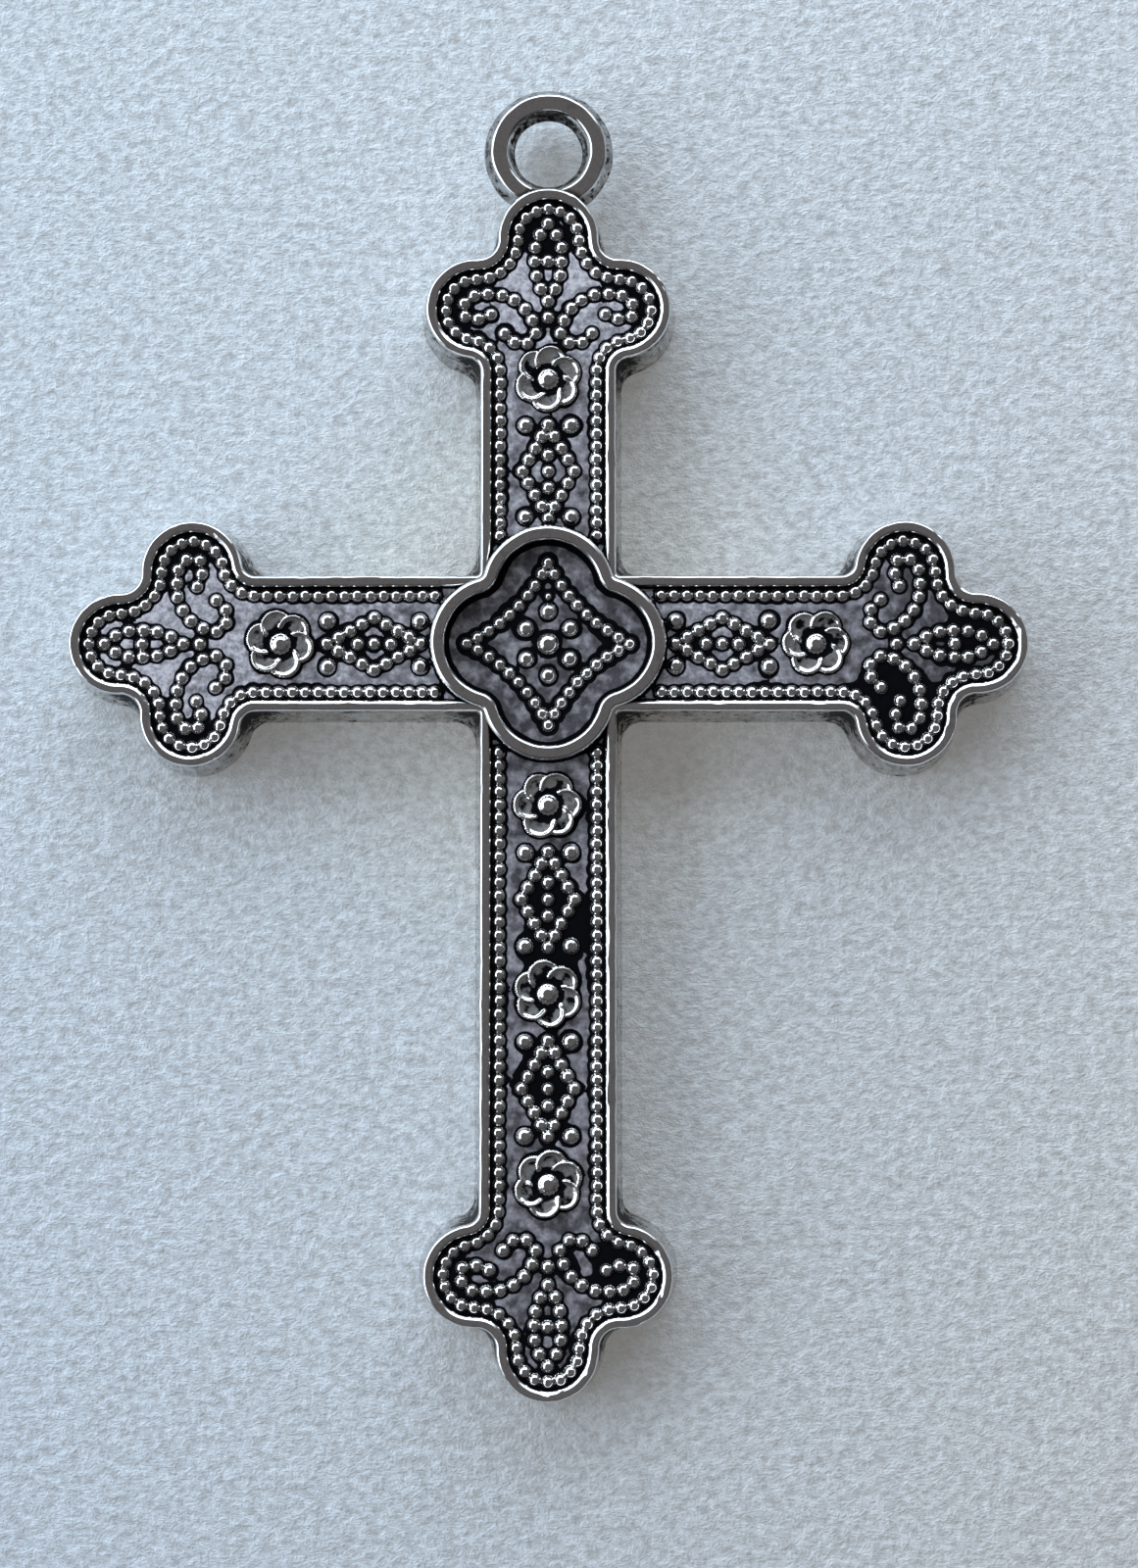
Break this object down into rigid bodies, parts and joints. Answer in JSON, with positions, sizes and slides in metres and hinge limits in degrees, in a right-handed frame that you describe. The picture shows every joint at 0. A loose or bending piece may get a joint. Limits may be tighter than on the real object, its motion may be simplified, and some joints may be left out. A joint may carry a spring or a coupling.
{
  "type": "cross pendant",
  "caption": "Cast metal cross pendant with trefoil ends, beaded relief, a raised quatrefoil medallion and a fixed hanging ring; lies flat on its back.",
  "frame": {"origin": "middle of the whole outline, hanging ring included, on the plane of the flat back", "axes": "+Z out of the carved face, +Y along the upright bar towards the hanging ring, +X across the arms"},
  "size_m": [0.0588, 0.0804, 0.0043],
  "materials": {
    "antique_silver": "bright cast alloy, plated, with black patina left in the hollows"
  },
  "bodies": {
    "root": {"cross": "antique_silver"}
  },
  "joints": []
}
